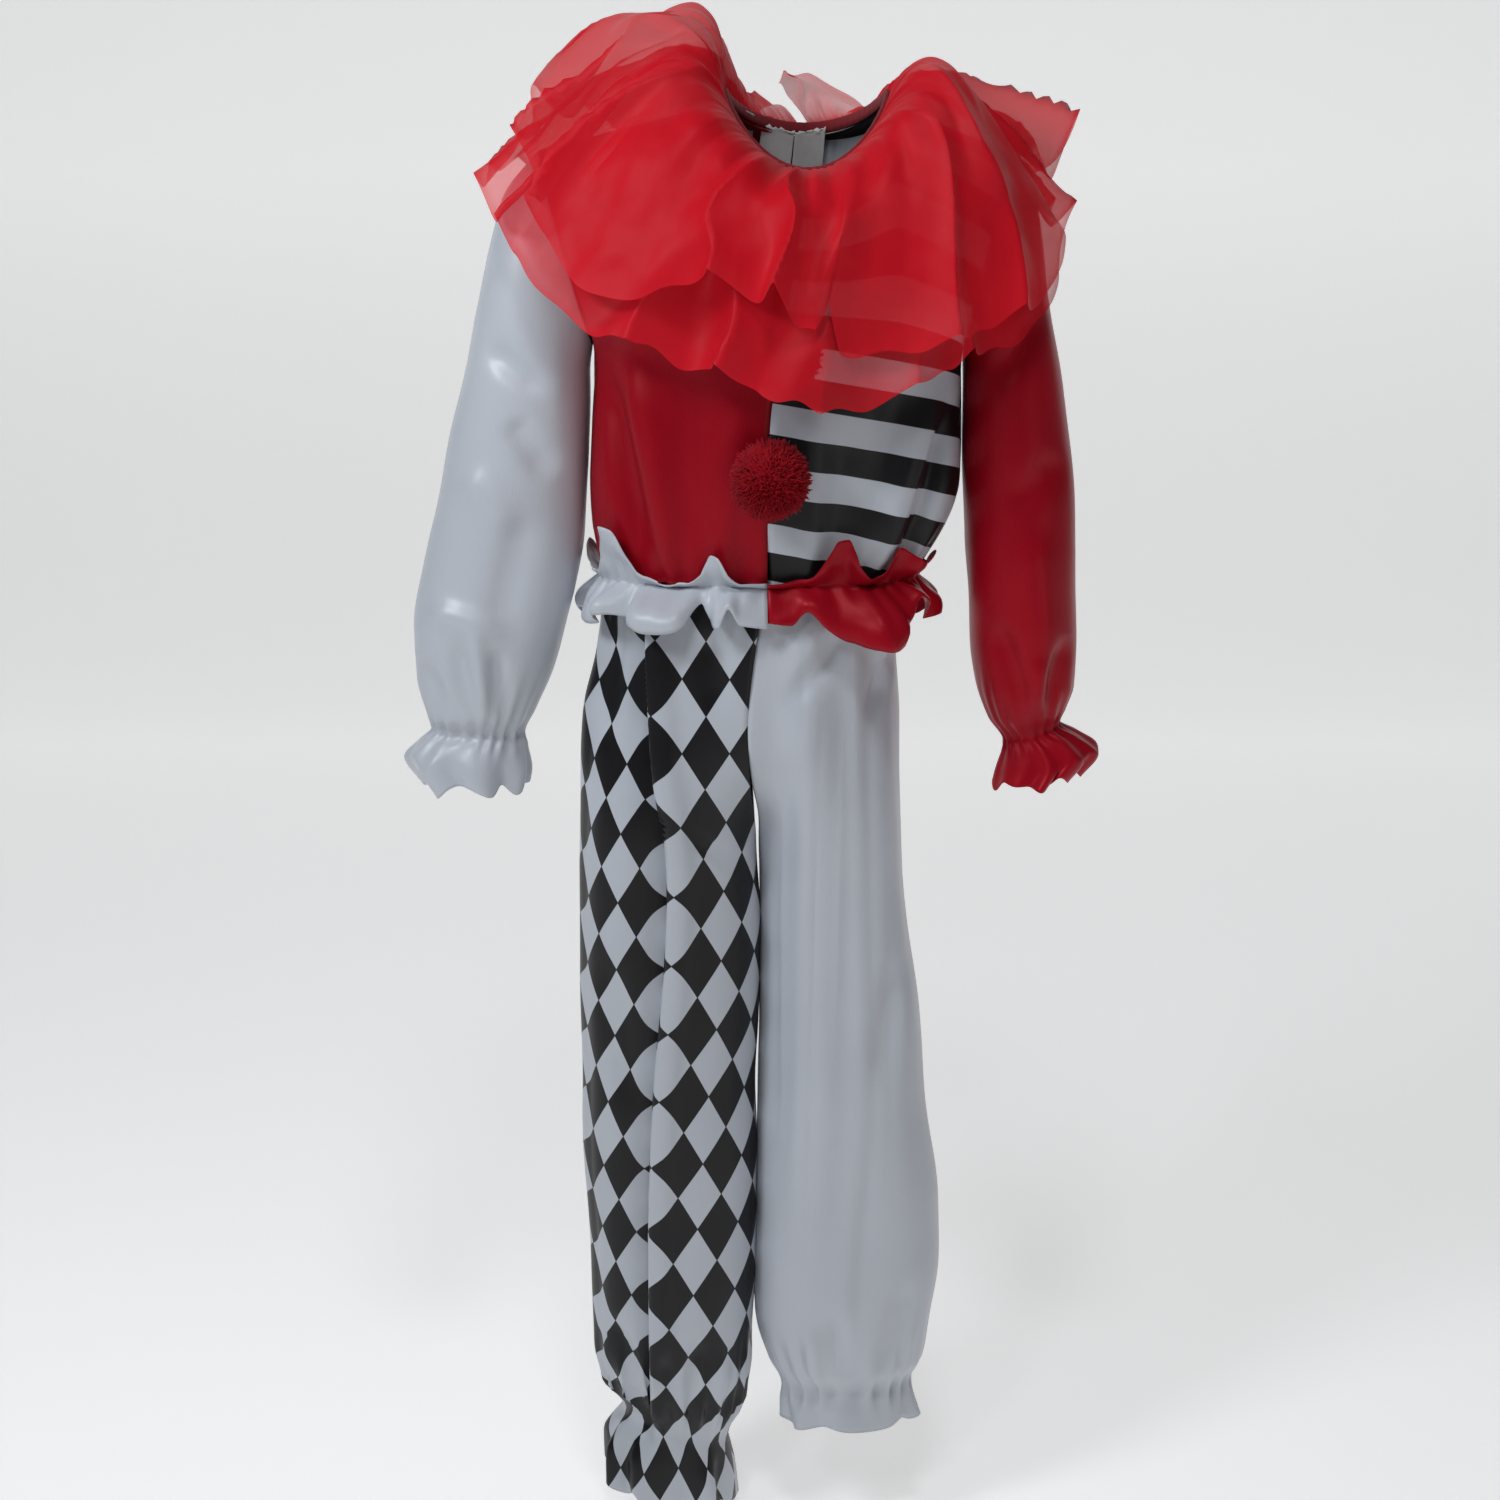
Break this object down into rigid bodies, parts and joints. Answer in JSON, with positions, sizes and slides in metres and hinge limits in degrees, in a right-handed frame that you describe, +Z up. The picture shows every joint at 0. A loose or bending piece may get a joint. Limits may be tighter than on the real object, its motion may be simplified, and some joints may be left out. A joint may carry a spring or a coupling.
{
  "type": "clown costume",
  "caption": "Child's one-piece clown suit in satin: red and striped bodice, harlequin and white legs, organza ruffle collar, pompoms and frilled waist, wrists and ankles.",
  "frame": {"origin": "middle of the neck opening, at the height of its sides, where the suit is held up", "axes": "+Z up, the front of the suit faces -Y, +X to the right of someone looking at the front (the wearer's left)"},
  "size_m": [0.4756, 0.2487, 1.0499],
  "materials": {
    "red_satin": "satin sheen",
    "striped_satin": "satin, black and white stripes",
    "white_satin": "satin sheen",
    "harlequin_satin": "satin, black and white harlequin",
    "dark_red_binding": "matt",
    "red_organza": "sheer",
    "red_yarn": "fluffy",
    "white_tape": "matt",
    "label_cloth": "matt"
  },
  "bodies": {
    "root": {"bodice_front_red": "red_satin", "bodice_front_striped": "striped_satin", "bodice_back_red": "red_satin", "bodice_back_striped": "striped_satin", "sleeve_white": "white_satin", "sleeve_red": "red_satin", "leg_harlequin": "harlequin_satin", "leg_white": "white_satin", "waist_frill_white": "white_satin", "waist_frill_red": "red_satin", "neck_binding": "dark_red_binding", "collar_upper": "red_organza", "collar_lower": "red_organza", "pompom_upper": "red_yarn", "pompom_lower": "red_yarn", "closure_tape_left": "white_tape", "closure_tape_right": "white_tape", "size_label": "label_cloth"}
  },
  "joints": []
}
